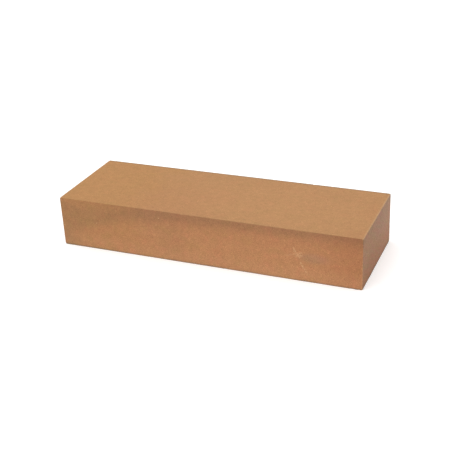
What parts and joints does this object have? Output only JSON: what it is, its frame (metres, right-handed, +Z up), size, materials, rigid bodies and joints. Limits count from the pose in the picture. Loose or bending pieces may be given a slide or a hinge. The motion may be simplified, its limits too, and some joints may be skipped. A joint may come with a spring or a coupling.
{
  "type": "bench oilstone",
  "caption": "Solid rectangular block of fired abrasive grain, flat on all faces with eased edges, for sharpening edge tools with oil.",
  "frame": {"origin": "middle of the underside, on the surface that the stone lies on", "axes": "+X along the stone's length, +Y across its width, +Z up out of the working face"},
  "size_m": [0.1524, 0.0508, 0.0254],
  "materials": {
    "abrasive": "matte"
  },
  "bodies": {
    "root": {"abrasive_block": "abrasive"}
  },
  "joints": []
}
